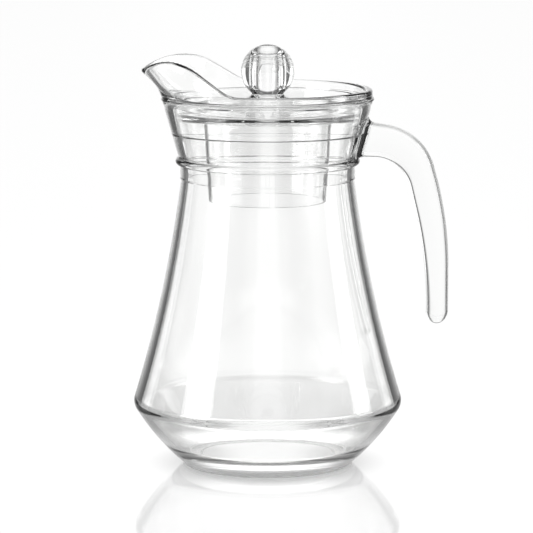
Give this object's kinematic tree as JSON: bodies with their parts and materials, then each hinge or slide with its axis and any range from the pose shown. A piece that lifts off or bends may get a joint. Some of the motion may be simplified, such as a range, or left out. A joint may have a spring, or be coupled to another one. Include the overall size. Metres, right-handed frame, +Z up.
{
  "type": "glass jug with lid",
  "caption": "Clear glass water jug with a flared collar, pulled pouring spout, open side handle and a lift-off lid with slotted skirt and ball knob.",
  "frame": {"origin": "middle of the foot ring, on the table", "axes": "+Z up along the jug's axis, handle towards +X, spout towards -X"},
  "size_m": [0.1638, 0.1398, 0.2193],
  "materials": {
    "jug_glass": "clear polished",
    "lid_plastic": "clear glossy"
  },
  "bodies": {
    "jug": {"jug_body": "jug_glass", "handle": "jug_glass"},
    "lid": {"lid": "lid_plastic", "lid_knob": "lid_plastic"}
  },
  "joints": [
    {"name": "lid_lift", "type": "slide", "parent": "jug", "child": "lid", "axis": [0, 0, 1], "range_m": [0, 0.085]}
  ]
}
